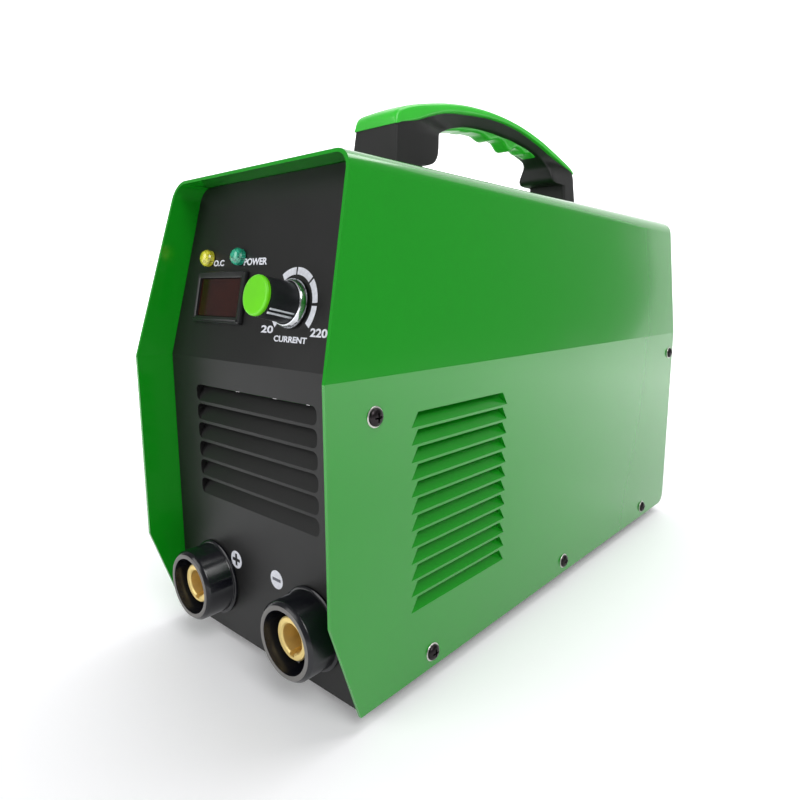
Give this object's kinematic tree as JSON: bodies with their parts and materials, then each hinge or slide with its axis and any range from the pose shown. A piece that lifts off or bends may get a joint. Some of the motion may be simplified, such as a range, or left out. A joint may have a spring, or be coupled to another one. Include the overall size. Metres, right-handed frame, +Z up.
{
  "type": "stick welding inverter",
  "caption": "Portable stick welding inverter in a folded steel cabinet with a carrying handle, current dial, display, two weld cable sockets, side louvres and a rear fan.",
  "frame": {"origin": "on the floor, in the middle of the overall width and length", "axes": "+X to the right seen from the front, +Y from the front panel to the rear panel, +Z up"},
  "size_m": [0.1448, 0.375, 0.2787],
  "materials": {
    "green_enamel": "gloss",
    "black_enamel": "satin",
    "black_plastic": "matte",
    "green_grip": "satin",
    "collar_plastic": "gloss",
    "brass": "machined",
    "lime_plastic": "gloss",
    "chrome": "polished",
    "zinc": "zinc plated",
    "black_screw": "blackened",
    "rubber": "matte",
    "yellow_lens": "translucent",
    "green_lens": "translucent",
    "display_lens": "tinted",
    "board": "solder mask",
    "aluminium": "extruded",
    "chip": "moulded",
    "ferrite": "sintered",
    "copper": "bare"
  },
  "bodies": {
    "root": {"base_tray": "black_enamel", "board_screws": "zinc", "board_standoffs": "zinc", "bridge_rectifier": "chip", "bulk_capacitors": "chip", "busbar_nuts": "brass", "cover_screws": "black_screw", "display_bezel": "black_plastic", "display_board": "board", "display_window": "display_lens", "earth_nuts": "brass", "earth_stud": "zinc", "earth_washers": "zinc", "fan_frame": "black_plastic", "fan_guard": "zinc", "fan_nuts": "zinc", "fan_screws": "black_screw", "foot_screws": "black_screw", "front_panel": "black_enamel", "gland_body": "black_plastic", "gland_cap": "black_plastic", "gland_locknut": "black_plastic", "gland_seal": "rubber", "handle_body": "black_plastic", "handle_finger_grip": "green_grip", "handle_screws": "black_screw", "handle_top_grip": "green_grip", "igbt_transistors": "chip", "lamp_holders": "black_plastic", "main_board": "board", "negative_busbar": "copper", "negative_socket_collar": "collar_plastic", "negative_socket_insert": "brass", "output_diodes": "chip", "output_heatsink": "aluminium", "output_inductor": "ferrite", "overload_lamp": "yellow_lens", "panel_screws": "black_screw", "positive_busbar": "copper", "positive_socket_collar": "collar_plastic", "positive_socket_insert": "brass", "potentiometer_body": "zinc", "potentiometer_nut": "zinc", "power_lamp": "green_lens", "primary_heatsink": "aluminium", "rear_panel": "black_enamel", "rubber_feet": "rubber", "socket_nuts": "brass", "socket_washers": "zinc", "switch_body": "black_plastic", "top_cover": "green_enamel", "transformer_core": "ferrite", "transformer_winding": "copper"},
    "knob": {"knob_body": "black_plastic", "knob_cap": "lime_plastic", "knob_skirt": "chrome", "potentiometer_shaft": "zinc"},
    "fan": {"fan_rotor": "black_plastic"},
    "rocker": {"switch_rocker": "black_plastic"}
  },
  "joints": [
    {"name": "current_dial", "type": "hinge", "parent": "root", "child": "knob", "pos_m": [0.0236, -0.16389, 0.16911], "axis": [0, -0.9781, 0.2079], "range_deg": [0, 260]},
    {"name": "fan_spin", "type": "hinge", "parent": "root", "child": "fan", "pos_m": [0, 0.1495, 0.155], "axis": [0, 1, 0], "continuous": true},
    {"name": "mains_switch", "type": "hinge", "parent": "root", "child": "rocker", "pos_m": [-0.04, 0.1595, 0.065], "axis": [1, 0, 0], "range_deg": [-20, 0]}
  ]
}
